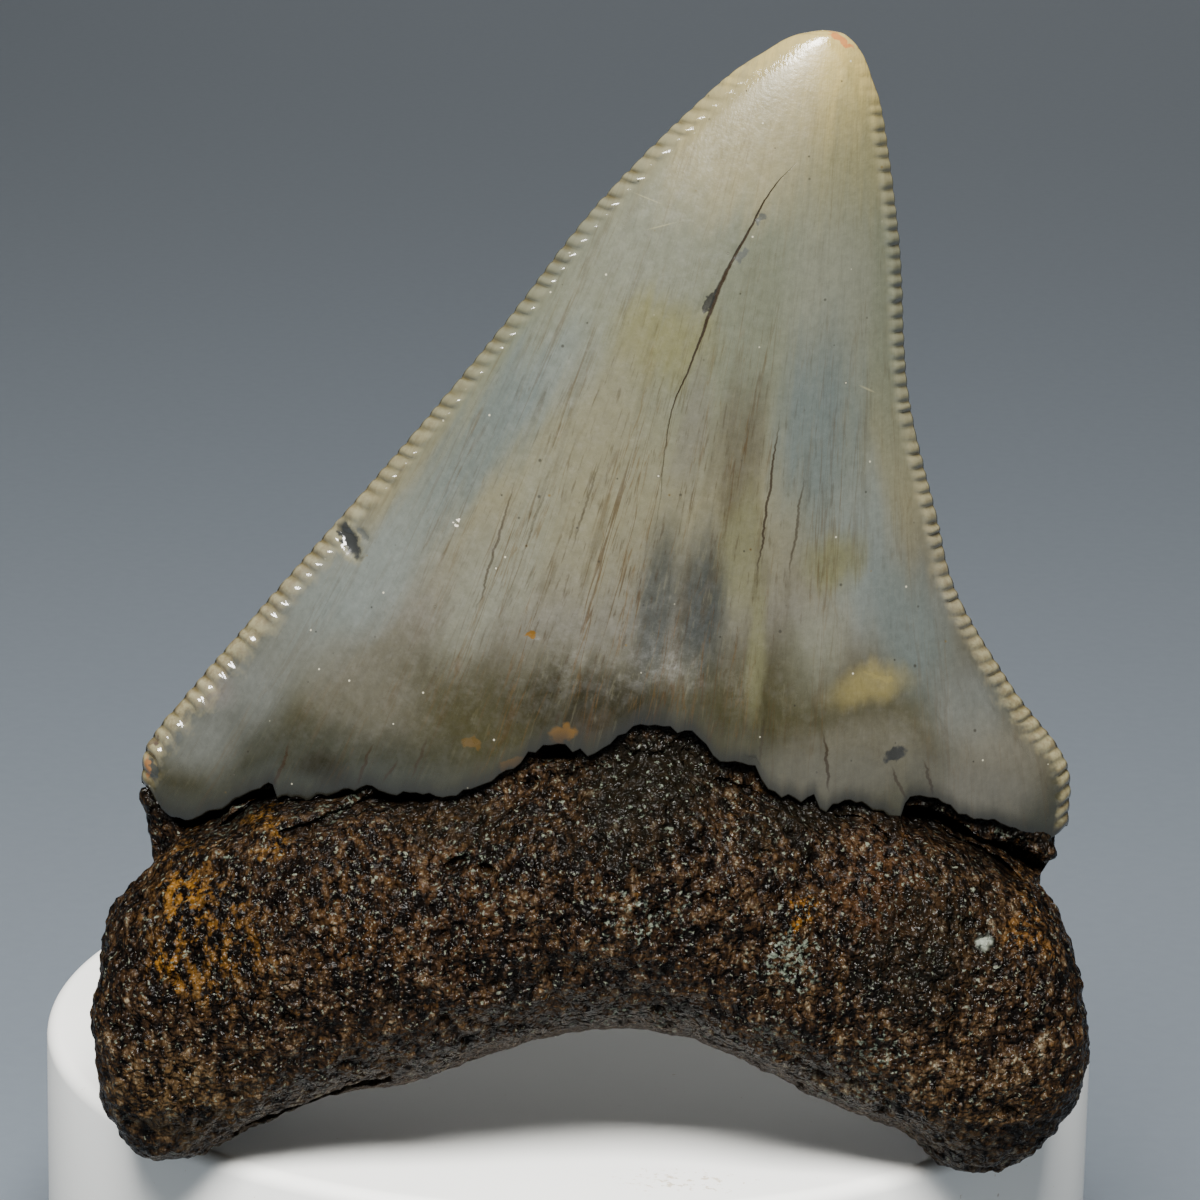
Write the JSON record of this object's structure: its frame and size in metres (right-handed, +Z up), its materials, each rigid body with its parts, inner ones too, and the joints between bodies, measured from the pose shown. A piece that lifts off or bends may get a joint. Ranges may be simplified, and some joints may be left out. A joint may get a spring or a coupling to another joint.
{
  "type": "fossil shark tooth on a round plinth",
  "caption": "Large fossil shark tooth, a broad serrated blade on a thick arched root, standing upright on a low round display plinth.",
  "frame": {"origin": "centre of the plinth's flat base", "axes": "+Z up, -Y towards the convex face of the tooth, +X to the right seen from that side"},
  "size_m": [0.06, 0.06, 0.0804],
  "materials": {
    "plinth_plastic": "smooth moulded white plastic, satin, with a small soft rim",
    "fossil_enamel": "glossy mineralised enamel, grey-green with blue-grey and olive streaks and fine lengthwise cracks",
    "fossil_root": "dark brown granular mineralised root, rough with glinting grains and rust patches"
  },
  "bodies": {
    "root": {"plinth": "plinth_plastic", "tooth": "fossil_enamel"}
  },
  "joints": []
}
